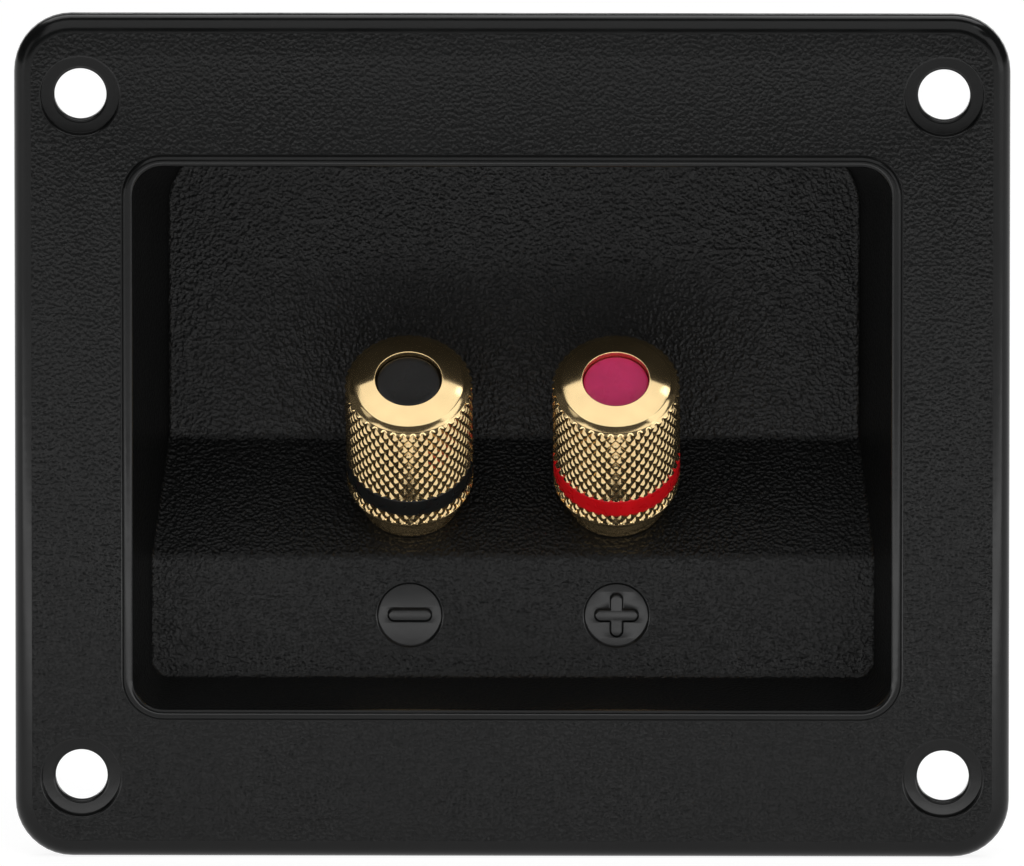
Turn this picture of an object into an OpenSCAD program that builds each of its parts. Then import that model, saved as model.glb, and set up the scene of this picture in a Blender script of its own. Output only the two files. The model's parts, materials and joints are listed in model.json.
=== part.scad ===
// Recessed two-way binding post terminal: a moulded cup with a screw-on flange, and a pair of
// knurled clamp posts that lean out of its sloping shelf.
// X runs across the flange, Z up it, and Y into the cabinet that it is screwed to.
// The origin is the middle of the screw pattern, on the flange's back face.

/* [Flange] */
// Width of the flange
flange_w = 94; // [88:0.5:110]
// Height of the flange
flange_h = 80.3; // [76:0.1:96]
// Thickness of the flange
flange_t = 3; // [2.6:0.1:4]
// Radius of the flange's corners
flange_corner_r = 5.4; // [3:0.1:8]
// Radius of the rolled front edge
flange_edge_r = 1.6; // [0.6:0.1:2]

/* [Screw holes] */
// Distance between screw holes across the flange
screw_dx = 81.5; // [78:0.5:84]
// Distance between screw holes up the flange
screw_dz = 65; // [60:0.5:68]
// Diameter of each screw hole
screw_d = 4.9; // [3.5:0.1:5.5]
// Diameter of the counterbore for the screw head
screw_head_d = 7.5; // [6.5:0.1:9]
// Depth of the counterbore
screw_head_depth = 1.5; // [0.5:0.1:1.8]

/* [Recess] */
// Width of the mouth of the recess
mouth_w = 71.5; // [64:0.5:74]
// Height of the mouth of the recess
mouth_h = 51.7; // [48:0.1:54]
// Corner radius of the mouth
mouth_corner_r = 2.8; // [1.5:0.1:4]
// Radius of the upper corners at the back of the recess
back_corner_r = 6; // [2:0.1:7]
// Radius that the lower corners would close to at the back of the recess
foot_corner_r = 0.8; // [0.6:0.1:4]
// Depth of the recess from the flange's front face to its back wall
recess_depth = 20.2; // [18:0.1:24]
// Draft of the recess's side and bottom walls, in degrees
recess_draft = 8.2; // [2:0.1:9]
// Draft of the recess's top wall, in degrees
top_draft = 1; // [0.5:0.1:9]
// Thickness of the moulding's walls
wall_t = 2.5; // [1.6:0.1:3]
// Width of the raised bead round the mouth
bead_w = 1.05; // [0.6:0.05:1.5]
// Height of the raised bead round the mouth
bead_h = 0.45; // [0.2:0.05:1]

/* [Shelf and signs] */
// Height of the ridge between the sloping shelf and the lower panel, from the flange's middle
ridge_z = -12.8; // [-15:0.1:-12]
// Rise of the shelf from the ridge to the back wall, equal to its run
shelf_rise = 10; // [9:0.1:11]
// Diameter of the round field that each polarity sign stands in
sign_field_d = 6.15; // [5:0.05:7]
// Depth of that field
sign_depth = 0.35; // [0.2:0.05:0.6]
// Length of a sign's bar
sign_bar_l = 4.1; // [3:0.1:4.6]
// Width of a sign's bar
sign_bar_w = 1.15; // [0.8:0.05:1.4]
// Height of the middle of the signs
sign_z = -18.45; // [-20:0.05:-18]

/* [Posts] */
// Distance between the two posts
post_pitch = 19.6; // [19:0.05:22]
// Diameter of the stud's collar on the shelf
collar_d = 9.6; // [9:0.1:10.4]
// Height of the stud's collar
collar_h = 2.9; // [2:0.1:3]
// Outer diameter of the stud's clamp thread
clamp_thread_d = 7.9; // [7.5:0.05:8]
// Height of the stud's end above the shelf
stud_top = 16.2; // [15.5:0.1:16.4]
// Depth of the plug socket
socket_depth = 9.6; // [8.5:0.1:9.8]
// Diameter of the wire hole across the stud
wire_hole_d = 2.8; // [2:0.1:3]

/* [Clamp knob] */
// Diameter over the points of the knurl
knob_d = 12.1; // [11.6:0.05:12.6]
// Height of the knob's foot above the shelf
knob_foot = 3; // [3:0.05:3.2]
// Height of the knob's crown above the shelf
knob_top = 18.65; // [18.4:0.05:19]
// Radius of the knob's slightly domed crown
crown_r = 14; // [10:0.5:30]
// Diameter of the hole in the crown
crown_hole_d = 6.4; // [6.3:0.05:6.6]
// Height of the colour ring's lower face above the shelf
ring_low = 4.98; // [4.9:0.01:5.1]
// Width of the colour ring along the post
ring_w = 2.28; // [2:0.01:2.4]

/* [Knurl] */
// Number of diamonds round the knob
diamonds = 40; // [30:1:48]
// Depth of the knurl
knurl_depth = 0.42; // [0.2:0.02:0.5]
// Rows of half diamonds along the main band
main_rows = 12; // [10:2:14]

/* [Rear hardware] */
// Outer diameter of the stud's rear thread
rear_thread_d = 5; // [4.6:0.1:5.2]
// Width across the flats of the nuts
nut_af = 8; // [8:0.1:9]
// Thickness of the clamp nut
nut_t = 4; // [2.7:0.1:4]
// Thickness of the lug nut
lug_nut_t = 2.7; // [2.5:0.1:4]
// Thickness of the flat washer
washer_t = 1; // [0.8:0.1:1.2]
// Thickness of the lock washer
lock_t = 1.2; // [1:0.1:1.4]
// Thickness of the solder lug
lug_t = 0.6; // [0.5:0.1:0.8]
// Length of the solder lug's tail from the post
lug_reach = 13; // [11:0.5:15]
// Length of thread left free behind the lug nut
thread_free = 2.5; // [2:0.1:4]

/* [Hidden] */

$fn = 64;
HULL_FN = 32;
CORNER_STEPS = 8;   // facets round a corner of the recess
OVERLAP = 0.5;      // how far cutters and joined solids run past each other
BEAD_SLICE = 0.01;
RUNNING_GAP = 0.05; // radial clearance of a turning or sliding fit
WASHER_PLAY = 0.3;  // how much wider than the thread each rear part's hole is
LOCK_PLAY = 0.2;
NUT_PLAY = 0.1;

POST_LEAN = 45;     // degrees from upright, square to the shelf
SOCKET_D = 4;       // takes a standard 4 mm plug
POINT = 0.5;        // chamfer at each end of a stud

// The two sides of the terminal, as signs along X
NEGATIVE = -1;
POSITIVE = 1;

// Colours
CUP_BLACK = [0.13, 0.13, 0.14];
GOLD = [0.86, 0.68, 0.33];
NICKEL = [0.78, 0.76, 0.72];
TINNED = [0.8, 0.79, 0.76];
RING_BLACK = [0.06, 0.06, 0.06];
RING_RED = [0.75, 0.07, 0.1];
PLUG_SMOKE = [0.22, 0.21, 0.21];
PLUG_PINK = [0.85, 0.16, 0.45];

// Recess: depths run back from the flange's front face
shelf_front_depth = recess_depth - shelf_rise;
junction_z = ridge_z + shelf_rise;
shelf_mid_depth = recess_depth - shelf_rise / 2;
shelf_mid_z = ridge_z + shelf_rise / 2;
bend_offset = wall_t * tan(POST_LEAN / 2); // shift of a bend line from the wall's face to its back

// Clamp knob
knob_r = knob_d / 2;
knurl_root_r = knob_r - knurl_depth;
groove_r = knob_r - 1.1;           // floor of the colour ring's groove
ring_top = ring_low + ring_w;
ring_inner_r = groove_r + RUNNING_GAP;
shoulder_z = knob_top - 1.2;       // top of the full diamonds
chamfer_top_z = knob_top - 0.8;    // top of the knurled band's chamfer
crown_edge_r = knob_r - 0.75;
chamfer_edge_r = crown_edge_r + 0.25;
foot_edge_r = knob_r - 0.4;        // where the foot's rolled rim starts
foot_rim_r = knob_r - 0.12;
foot_roll_z = knob_foot + 0.25;
foot_knurl_z = knob_foot + 0.45;
clamp_bore_r = clamp_thread_d / 2 + RUNNING_GAP;
clamp_bore_top = stud_top + 0.4;
mouth_chamfer = 0.15;

// Stud through the wall: a round neck with two flats, which stops it turning
neck_d = 6.4;
neck_flats = 5.4;

// Safety plug
plug_face_z = knob_top - 0.75;
plug_pin_l = 8;

// Rear stack, heights below the shelf face
washer_z = -wall_t;
lock_z = washer_z - washer_t;
nut_z = lock_z - lock_t;
lug_z = nut_z - nut_t;
lug_nut_z = lug_z - lug_t;
stud_end_z = lug_nut_z - lug_nut_t - thread_free;

// Stands children up in the flange's plane: their XY becomes the flange's X and Z,
// and their Z runs out of its front, from the back face
module in_flange() {
    rotate([90, 0, 0]) children();
}

// Moves children to a post's foot, their Z along the post
module at_post(side) {
    translate([side * post_pitch / 2, shelf_mid_depth - flange_t, shelf_mid_z])
        rotate([POST_LEAN, 0, 0]) children();
}

// ---- Terminal cup ----

// A rectangle from low to high, with one radius at its lower corners and one at its upper ones
module rounded_rect(w, low, high, low_r, high_r) {
    corners = [[1, low + low_r, low_r, -90], [1, high - high_r, high_r, 0],
               [-1, high - high_r, high_r, 90], [-1, low + low_r, low_r, 180]];
    polygon([
        for (c = corners, i = [0:CORNER_STEPS]) let (a = c[3] + 90 * i / CORNER_STEPS)
            [c[0] * (w / 2 - c[2]) + c[2] * cos(a), c[1] + c[2] * sin(a)]
    ]);
}

// The flange's slab, with its front edge rolled over
module flange_slab() {
    hull() for (sx = [-1, 1], sz = [-1, 1])
        translate([sx * (flange_w / 2 - flange_corner_r), sz * (flange_h / 2 - flange_corner_r), 0])
            rotate_extrude($fn = HULL_FN) rolled_edge();
}

module rolled_edge() {
    square([flange_corner_r - flange_edge_r, flange_t]);
    square([flange_corner_r, flange_t - flange_edge_r]);
    translate([flange_corner_r - flange_edge_r, flange_t - flange_edge_r])
        circle(flange_edge_r, $fn = HULL_FN);
}

// A drafted pocket between two depths behind the flange's front face, grown outward by a wall's
// thickness. Its upper corners open towards the back wall, and its lower ones close.
module pocket(front_depth, back_depth, grow) {
    hull() {
        pocket_slice(front_depth, grow);
        pocket_slice(back_depth, grow);
    }
}

// One thin slice of the pocket, its front at a depth
module pocket_slice(depth, grow) {
    slice = 0.01;
    step_in = depth * tan(recess_draft) - grow;
    top_step = depth * tan(top_draft) - grow;
    translate([0, 0, flange_t - depth]) linear_extrude(slice)
        rounded_rect(mouth_w - 2 * step_in, step_in - mouth_h / 2, mouth_h / 2 - top_step,
                     corner_at(depth, foot_corner_r) + grow,
                     corner_at(depth, back_corner_r) + grow);
}

// Radius of a corner at a depth, changing evenly from the mouth's to one at the back
function corner_at(depth, back_r) =
    mouth_corner_r + (back_r - mouth_corner_r) * depth / recess_depth;

// The step that fills the foot of the pocket: a panel, a ridge and a 45 degree shelf.
// set_back moves its faces back, to follow them on the far side of the wall.
module step_prism(set_back) {
    bend = set_back * tan(POST_LEAN / 2);
    front = shelf_front_depth + set_back;
    reach = recess_depth + 3 * wall_t;
    run = reach - front;
    rotate([0, 90, 0]) rotate([0, 0, 90])
        linear_extrude(2 * mouth_w, center = true)
            polygon([[-flange_h, flange_t - front],
                     [ridge_z - bend, flange_t - front],
                     [ridge_z - bend + run, flange_t - reach],
                     [-flange_h, flange_t - reach]]);
}

// The hollow inside of the cup
module recess() {
    difference() {
        pocket(-bead_h - OVERLAP, recess_depth, 0);
        step_prism(0);
    }
}

// The outside of the cup behind the flange
module cup_shell() {
    difference() {
        pocket(flange_t / 2, recess_depth + wall_t, wall_t);
        step_prism(wall_t);
    }
}

// The bead, upright at its foot and sloping in to its crown
module mouth_bead() {
    hull() {
        bead_slice(-OVERLAP, bead_w);
        bead_slice(bead_h / 3, bead_w);
        bead_slice(bead_h - BEAD_SLICE, bead_w - bead_h / 2);
    }
}

// One thin slice of the bead, its foot at a height over the flange
module bead_slice(height, reach) {
    translate([0, 0, flange_t + height]) linear_extrude(BEAD_SLICE)
        rounded_rect(mouth_w + 2 * reach, -mouth_h / 2 - reach, mouth_h / 2 + reach,
                     mouth_corner_r + reach, mouth_corner_r + reach);
}

module screw_hole() {
    translate([0, 0, -OVERLAP]) cylinder(d = screw_d, h = flange_t + 2 * OVERLAP);
    translate([0, 0, flange_t - screw_head_depth])
        cylinder(d = screw_head_d, h = screw_head_depth + OVERLAP);
}

// A sign's bar, round at both ends
module sign_bar() {
    half = (sign_bar_l - sign_bar_w) / 2;
    square([2 * half, sign_bar_w], center = true);
    for (s = [-1, 1]) translate([s * half, 0]) circle(d = sign_bar_w);
}

// The sunk field round a sign, as a cutter that leaves the sign standing
module sign_cutter(side) {
    translate([side * post_pitch / 2, sign_z, flange_t - shelf_front_depth - sign_depth])
        linear_extrude(sign_depth + 0.3) difference() {
            circle(d = sign_field_d);
            sign_bar();
            if (side == POSITIVE) rotate(90) sign_bar();
        }
}

// A round hole with two flats, for the stud's neck
module neck_shape(gap) {
    intersection() {
        circle(d = neck_d + 2 * gap);
        square([neck_flats + 2 * gap, 2 * neck_d], center = true);
    }
}

// The web between the two posts, behind the shelf
module rear_web() {
    web_t = 1.6;
    web_foot = 8;  // how far the web runs down behind the lower panel
    web_head = 5;  // height of the web's upper end
    web_back = recess_depth + wall_t - 0.6;
    rotate([0, 90, 0]) rotate([0, 0, 90])
        linear_extrude(web_t, center = true)
            polygon([[ridge_z - web_foot, flange_t - shelf_front_depth - wall_t + OVERLAP],
                     [ridge_z - bend_offset, flange_t - shelf_front_depth - wall_t + OVERLAP],
                     [junction_z - bend_offset, flange_t - web_back],
                     [junction_z - bend_offset - web_head, flange_t - web_back]]);
}

module terminal_cup() {
    color(CUP_BLACK) difference() {
        in_flange() difference() {
            union() {
                flange_slab();
                cup_shell();
                mouth_bead();
                rear_web();
            }
            recess();
            for (sx = [-1, 1], sz = [-1, 1])
                translate([sx * screw_dx / 2, sz * screw_dz / 2, 0]) screw_hole();
            sign_cutter(NEGATIVE);
            sign_cutter(POSITIVE);
        }
        for (side = [NEGATIVE, POSITIVE]) at_post(side)
            translate([0, 0, -wall_t - OVERLAP])
                linear_extrude(wall_t + 2 * OVERLAP) neck_shape(RUNNING_GAP);
    }
}

// ---- Binding posts, each drawn upright with its Z = 0 on the shelf ----

module post_stud() {
    color(GOLD) difference() {
        union() {
            cylinder(d = collar_d, h = collar_h);
            translate([0, 0, collar_h - OVERLAP])
                cylinder(d = clamp_thread_d, h = stud_top - collar_h + OVERLAP - POINT);
            translate([0, 0, stud_top - POINT])
                cylinder(d1 = clamp_thread_d, d2 = clamp_thread_d - 2 * POINT, h = POINT);
            translate([0, 0, -wall_t]) linear_extrude(wall_t + OVERLAP) neck_shape(0);
            translate([0, 0, stud_end_z + POINT])
                cylinder(d = rear_thread_d, h = -stud_end_z - POINT);
            translate([0, 0, stud_end_z])
                cylinder(d1 = rear_thread_d - 2 * POINT, d2 = rear_thread_d, h = POINT);
        }
        translate([0, 0, stud_top - socket_depth])
            cylinder(d = SOCKET_D, h = socket_depth + OVERLAP);
        translate([-knob_d, 0, collar_h + wire_hole_d / 2 + 0.1])
            rotate([0, 90, 0]) cylinder(d = wire_hole_d, h = 2 * knob_d);
    }
}

// Rings of a knurled band, each [height, radius of even columns, radius of odd columns]
function knurl_rings(low, high, rows) = [
    for (i = [0:rows]) let (z = low + (high - low) * i / rows)
        i % 2 == 0 ? [z, knob_r, knurl_root_r] : [z, knurl_root_r, knob_r]
];

// A solid of rings whose columns alternate between two radii. Each facet pair is split along
// its lower diagonal, so that the high points become four-sided pyramids between the grooves.
// Both ends are fans about the axis, so that a bore or a core cuts each facet only once.
module knurled_solid(rings) {
    columns = 2 * diamonds;
    last = len(rings) - 1;
    points = concat(
        [for (ring = rings, j = [0:columns - 1]) let (r = ring[1 + j % 2], a = j * 360 / columns)
            [r * cos(a), r * sin(a), ring[0]]],
        [[0, 0, rings[0][0]], [0, 0, rings[last][0]]]
    );
    foot_middle = (last + 1) * columns;
    top_middle = foot_middle + 1;
    function at(i, j) = i * columns + j % columns;
    function radius(i, j) = rings[i][1 + j % 2];
    function falls_right(i, j) =
        radius(i, j) + radius(i + 1, j + 1) <= radius(i, j + 1) + radius(i + 1, j);
    sides = [
        for (i = [0:last - 1], j = [0:columns - 1], half = [0, 1])
            falls_right(i, j)
                ? (half == 0 ? [at(i, j), at(i + 1, j), at(i + 1, j + 1)]
                             : [at(i, j), at(i + 1, j + 1), at(i, j + 1)])
                : (half == 0 ? [at(i, j), at(i + 1, j), at(i, j + 1)]
                             : [at(i + 1, j), at(i + 1, j + 1), at(i, j + 1)])
    ];
    foot = [for (j = [0:columns - 1]) [at(0, j), at(0, j + 1), foot_middle]];
    top = [for (j = [0:columns - 1]) [at(last, j + 1), at(last, j), top_middle]];
    polyhedron(points, concat(foot, sides, top));
}

// The main band of diamonds, chamfered at the crown
module main_band() {
    knurled_solid(concat(knurl_rings(ring_top + RUNNING_GAP, shoulder_z, main_rows),
                         [[chamfer_top_z, chamfer_edge_r, chamfer_edge_r]]));
}

// The narrow band under the colour ring, with a plain rolled foot
module foot_band() {
    knurled_solid(concat([[knob_foot, foot_edge_r, foot_edge_r],
                          [foot_roll_z, foot_rim_r, foot_rim_r]],
                         knurl_rings(foot_knurl_z, ring_low - RUNNING_GAP, 2)));
}

// The plain body inside the knurl, with its domed crown
module knob_core() {
    cylinder_foot = knob_foot + 0.6;
    intersection() {
        union() {
            translate([0, 0, cylinder_foot])
                cylinder(r = groove_r, h = knob_top - cylinder_foot);
            translate([0, 0, ring_top + 1])
                cylinder(r = crown_edge_r, h = knob_top - ring_top - 1);
        }
        translate([0, 0, knob_top - crown_r + crown_drop(crown_hole_d / 2)]) sphere(crown_r, $fn = 96);
    }
}

// Drop of the domed crown from its middle to a radius
function crown_drop(r) = crown_r - sqrt(crown_r * crown_r - r * r);

module clamp_knob() {
    color(GOLD) difference() {
        union() {
            main_band();
            foot_band();
            knob_core();
        }
        translate([0, 0, knob_foot - OVERLAP])
            cylinder(r = clamp_bore_r, h = clamp_bore_top - knob_foot + OVERLAP);
        cylinder(d = crown_hole_d, h = knob_top + OVERLAP);
        translate([0, 0, knob_top - mouth_chamfer])
            cylinder(d1 = crown_hole_d, d2 = crown_hole_d + 4 * mouth_chamfer, h = 2 * mouth_chamfer);
    }
}

module colour_ring(tone) {
    edge = 0.15;
    outer = knob_r - 0.03;
    color(tone) rotate_extrude() polygon([
        [ring_inner_r, ring_low], [outer - edge, ring_low], [outer, ring_low + edge],
        [outer, ring_top - edge], [outer - edge, ring_top], [ring_inner_r, ring_top]
    ]);
}

// The plug that closes the socket: a round head in the crown's hole and a pin in the stud
module safety_plug(tone) {
    head_low = stud_top + RUNNING_GAP;
    head_r = crown_hole_d / 2 - 0.08;
    pin_r = SOCKET_D / 2 - RUNNING_GAP;
    edge = 0.25;
    color(tone) rotate_extrude() polygon([
        [0, head_low - plug_pin_l], [pin_r - edge, head_low - plug_pin_l],
        [pin_r, head_low - plug_pin_l + edge], [pin_r, head_low], [head_r, head_low],
        [head_r, plug_face_z - edge], [head_r - edge, plug_face_z], [0, plug_face_z]
    ]);
}

module flat_washer() {
    color(NICKEL) translate([0, 0, washer_z - washer_t]) difference() {
        cylinder(d = 2 * rear_thread_d, h = washer_t);
        translate([0, 0, -OVERLAP])
            cylinder(d = rear_thread_d + WASHER_PLAY, h = washer_t + 2 * OVERLAP);
    }
}

// A spring washer, flat under load, with its slanted split
module lock_washer() {
    outer_d = rear_thread_d + 4.2;
    split_w = 0.8;
    color(NICKEL) translate([0, 0, lock_z - lock_t]) difference() {
        cylinder(d = outer_d, h = lock_t);
        translate([0, 0, -OVERLAP]) cylinder(d = rear_thread_d + LOCK_PLAY, h = lock_t + 2 * OVERLAP);
        translate([0, rear_thread_d, lock_t / 2]) rotate([0, 25, 0])
            cube([split_w, 2 * rear_thread_d, 4 * lock_t], center = true);
    }
}

// A hexagon nut with chamfered corners, its top face at a height
module hex_nut(top, thickness) {
    corner_d = nut_af / cos(30);
    chamfer = (corner_d - nut_af) / 2;
    color(NICKEL) translate([0, 0, top - thickness]) difference() {
        intersection() {
            cylinder(d = corner_d, h = thickness, $fn = 6);
            union() {
                cylinder(d1 = nut_af, d2 = nut_af + 4 * chamfer, h = chamfer);
                translate([0, 0, chamfer])
                    cylinder(d = nut_af + 4 * chamfer, h = thickness - 2 * chamfer);
                translate([0, 0, thickness - chamfer])
                    cylinder(d1 = nut_af + 4 * chamfer, d2 = nut_af, h = chamfer);
            }
        }
        translate([0, 0, -OVERLAP])
            cylinder(d = rear_thread_d + NUT_PLAY, h = thickness + 2 * OVERLAP);
    }
}

// A stamped ring tag with a tapering tail and an eye for the wire
module solder_lug(side) {
    eye_d = 1.8;
    tail_w = 3.6;
    eye_x = lug_reach - tail_w / 2;
    color(TINNED) translate([0, 0, lug_z - lug_t]) rotate(side == POSITIVE ? 0 : 180)
        linear_extrude(lug_t) difference() {
            union() {
                circle(d = rear_thread_d + 4.4);
                polygon([[0, -tail_w * 0.8], [eye_x, -tail_w / 2],
                         [eye_x, tail_w / 2], [0, tail_w * 0.8]]);
                translate([eye_x, 0]) circle(d = tail_w);
            }
            circle(d = rear_thread_d + WASHER_PLAY);
            translate([eye_x, 0]) circle(d = eye_d);
        }
}

terminal_cup();

at_post(NEGATIVE) post_stud();  // negative_stud
at_post(NEGATIVE) clamp_knob();  // negative_clamp_knob
at_post(NEGATIVE) colour_ring(RING_BLACK);  // negative_colour_ring
at_post(NEGATIVE) safety_plug(PLUG_SMOKE);  // negative_safety_plug
at_post(NEGATIVE) flat_washer();  // negative_flat_washer
at_post(NEGATIVE) lock_washer();  // negative_lock_washer
at_post(NEGATIVE) hex_nut(nut_z, nut_t);  // negative_clamp_nut
at_post(NEGATIVE) solder_lug(NEGATIVE);  // negative_solder_lug
at_post(NEGATIVE) hex_nut(lug_nut_z, lug_nut_t);  // negative_lug_nut

at_post(POSITIVE) post_stud();  // positive_stud
at_post(POSITIVE) clamp_knob();  // positive_clamp_knob
at_post(POSITIVE) colour_ring(RING_RED);  // positive_colour_ring
at_post(POSITIVE) safety_plug(PLUG_PINK);  // positive_safety_plug
at_post(POSITIVE) flat_washer();  // positive_flat_washer
at_post(POSITIVE) lock_washer();  // positive_lock_washer
at_post(POSITIVE) hex_nut(nut_z, nut_t);  // positive_clamp_nut
at_post(POSITIVE) solder_lug(POSITIVE);  // positive_solder_lug
at_post(POSITIVE) hex_nut(lug_nut_z, lug_nut_t);  // positive_lug_nut
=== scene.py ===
import json
import math

import bmesh
import bpy
from bpy.props import FloatProperty, FloatVectorProperty, IntProperty, PointerProperty
from mathutils import Matrix, Vector
from mathutils.geometry import tessellate_polygon


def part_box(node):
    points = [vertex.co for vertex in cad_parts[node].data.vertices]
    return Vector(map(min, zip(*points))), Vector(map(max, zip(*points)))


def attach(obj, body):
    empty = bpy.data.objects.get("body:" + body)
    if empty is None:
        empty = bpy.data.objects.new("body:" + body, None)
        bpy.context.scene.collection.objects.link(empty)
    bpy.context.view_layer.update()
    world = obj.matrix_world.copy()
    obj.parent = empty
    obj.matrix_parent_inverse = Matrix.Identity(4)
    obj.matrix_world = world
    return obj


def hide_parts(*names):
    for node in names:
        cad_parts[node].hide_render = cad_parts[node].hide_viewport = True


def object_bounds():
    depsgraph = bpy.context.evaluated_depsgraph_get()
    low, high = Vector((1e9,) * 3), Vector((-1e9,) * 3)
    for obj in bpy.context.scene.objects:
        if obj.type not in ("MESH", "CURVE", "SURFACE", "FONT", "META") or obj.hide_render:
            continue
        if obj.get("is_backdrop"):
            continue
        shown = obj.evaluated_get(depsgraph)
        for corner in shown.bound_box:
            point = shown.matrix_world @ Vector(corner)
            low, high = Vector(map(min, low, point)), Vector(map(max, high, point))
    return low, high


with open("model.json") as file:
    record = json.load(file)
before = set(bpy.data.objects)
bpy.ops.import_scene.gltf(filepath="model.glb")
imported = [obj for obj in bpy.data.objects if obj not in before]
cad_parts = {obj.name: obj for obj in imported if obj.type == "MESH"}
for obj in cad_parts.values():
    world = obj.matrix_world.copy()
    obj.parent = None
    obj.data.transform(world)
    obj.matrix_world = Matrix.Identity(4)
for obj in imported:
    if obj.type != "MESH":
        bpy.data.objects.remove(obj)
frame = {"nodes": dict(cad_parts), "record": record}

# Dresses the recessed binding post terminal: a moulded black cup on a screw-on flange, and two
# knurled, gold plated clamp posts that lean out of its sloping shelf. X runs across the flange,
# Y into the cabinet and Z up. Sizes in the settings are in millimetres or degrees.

bl_info = {
    "name": "Recessed binding post terminal",
    "version": (1, 0, 0),
    "blender": (4, 5, 0),
    "location": "View3D > Sidebar > Terminal",
    "description": "Builds a recessed terminal cup with two knurled binding posts",
    "category": "Object",
}

MM = 0.001
SIDES = {"negative": -1, "positive": 1}
BODIES = frame["record"]["behaviour"]["bodies"]
GRAIN, GLOSS = 0, 1  # the cup's two finishes
CORNER_STEPS = 10    # facets round each corner of the cup
FILLET_STEPS = 5     # facets round each small fillet
HOLE_FACETS = 64
ROLL_STEPS = 10      # facets round the flange's rolled edge
WALL_STEPS = 6       # rows of faces down the recess's wall
SHARP_CUP = 38       # degrees beyond which an edge of the cup stays sharp


def node_size(node, axis):
    """A CAD node's size along an axis, in millimetres."""
    low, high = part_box(node)
    return (high[axis] - low[axis]) / MM


def size(name, about, value, low=0.0, high=200.0):
    """A length in millimetres, as a setting."""
    return FloatProperty(name=name, description=about, default=value, min=low, max=high, precision=3)


def tone(name, about, value):
    return FloatVectorProperty(name=name, description=about, default=value, size=3,
                               subtype="COLOR", min=0.0, max=1.0)


class TERMINAL_PG_cup(bpy.types.PropertyGroup):
    """Sizes and colour of the moulded cup"""

    flange_w: size("Flange width", "Width of the flange, in mm", node_size("terminal_cup", 0))
    flange_h: size("Flange height", "Height of the flange, in mm", node_size("terminal_cup", 2))
    flange_t: size("Flange thickness", "Thickness of the flange, in mm", 3.0)
    corner_r: size("Flange corners", "Corner radius of the flange, in mm", 5.4)
    roll_r: size("Rolled edge", "Radius of the flange's rolled front edge, in mm", 1.6)
    screw_dx: size("Screws across", "Distance between screw holes across, in mm", 81.5)
    screw_dz: size("Screws up", "Distance between screw holes up the flange, in mm", 65.0)
    screw_d: size("Screw hole", "Diameter of a screw hole, in mm", 4.9)
    head_d: size("Counterbore", "Diameter of a counterbore, in mm", 7.5)
    head_depth: size("Counterbore depth", "Depth of a counterbore, in mm", 1.5)
    mouth_w: size("Mouth width", "Width of the recess at its mouth, in mm", 71.5)
    mouth_h: size("Mouth height", "Height of the recess at its mouth, in mm", 51.7)
    mouth_r: size("Mouth corners", "Corner radius at the mouth, in mm", 2.8)
    back_r: size("Back corners", "Radius of the upper corners at the back wall, in mm", 6.0)
    foot_r: size("Foot corners", "Radius the lower corners close to at the back, in mm", 0.8)
    depth: size("Recess depth", "Depth of the back wall behind the flange's front, in mm", 20.2)
    draft: FloatProperty(name="Draft", description="Draft of the side and bottom walls, in degrees",
                         default=8.2, min=0.0, max=20.0)
    top_draft: FloatProperty(name="Top draft", description="Draft of the top wall, in degrees",
                             default=1.0, min=0.0, max=20.0)
    wall: size("Wall", "Thickness of the moulding's wall, in mm", 2.5)
    bead_w: size("Bead width", "Width of the raised bead round the mouth, in mm", 1.05)
    bead_h: size("Bead height", "Height of the raised bead round the mouth, in mm", 0.45)
    ridge_z: size("Ridge", "Height of the ridge under the shelf, in mm", -12.8, -40.0, 40.0)
    shelf_rise: size("Shelf rise", "Rise and run of the sloping shelf, in mm", 10.0)
    fillet: size("Foot fillet", "Fillet between the walls and the floor, in mm", 0.6)
    sign_d: size("Sign field", "Diameter of the round field of each sign, in mm", 6.15)
    sign_depth: size("Sign depth", "Depth of the sign's field, in mm", 0.35)
    sign_l: size("Sign length", "Length of a sign's bar, in mm", 4.1)
    sign_w: size("Sign width", "Width of a sign's bar, in mm", 1.15)
    sign_z: size("Sign height", "Height of the signs' middle, in mm", -18.45, -40.0, 40.0)
    colour: tone("Plastic", "Colour of the moulded plastic", (0.0046, 0.0048, 0.0048))


class TERMINAL_PG_posts(bpy.types.PropertyGroup):
    """Sizes and colours of the two binding posts"""

    pitch: size("Post pitch", "Distance between the two posts, in mm", 19.6)
    lean: FloatProperty(name="Lean", description="Lean of the posts from upright, in degrees",
                        default=45.0, min=0.0, max=90.0)
    foot_y: size("Foot depth", "Depth of a post's foot behind the flange's back, in mm", 12.2)
    foot_z: size("Foot height", "Height of a post's foot, in mm", -7.8, -40.0, 40.0)
    knob_r: size("Knob radius", "Radius over the knurl's points, in mm", 6.05)
    diamonds: IntProperty(name="Diamonds", description="Diamonds round a knob", default=40, min=8)
    knurl_depth: size("Knurl depth", "Depth of the knurl, in mm", 0.21)
    gold: tone("Gold", "Colour of the gold plating", (0.84, 0.62, 0.32))
    black: tone("Black ring", "Colour of the negative post's ring", (0.010, 0.010, 0.010))
    red: tone("Red ring", "Colour of the positive post's ring", (0.62, 0.006, 0.010))
    smoke: tone("Smoke plug", "Colour of the negative post's plug", (0.009, 0.0085, 0.008))
    pink: tone("Pink plug", "Colour of the positive post's plug", (0.53, 0.024, 0.115))
    nickel: tone("Nickel", "Colour of the nuts' and washers' plating", (0.66, 0.63, 0.58))
    tin: tone("Tin", "Colour of the solder lugs", (0.72, 0.70, 0.66))


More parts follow.
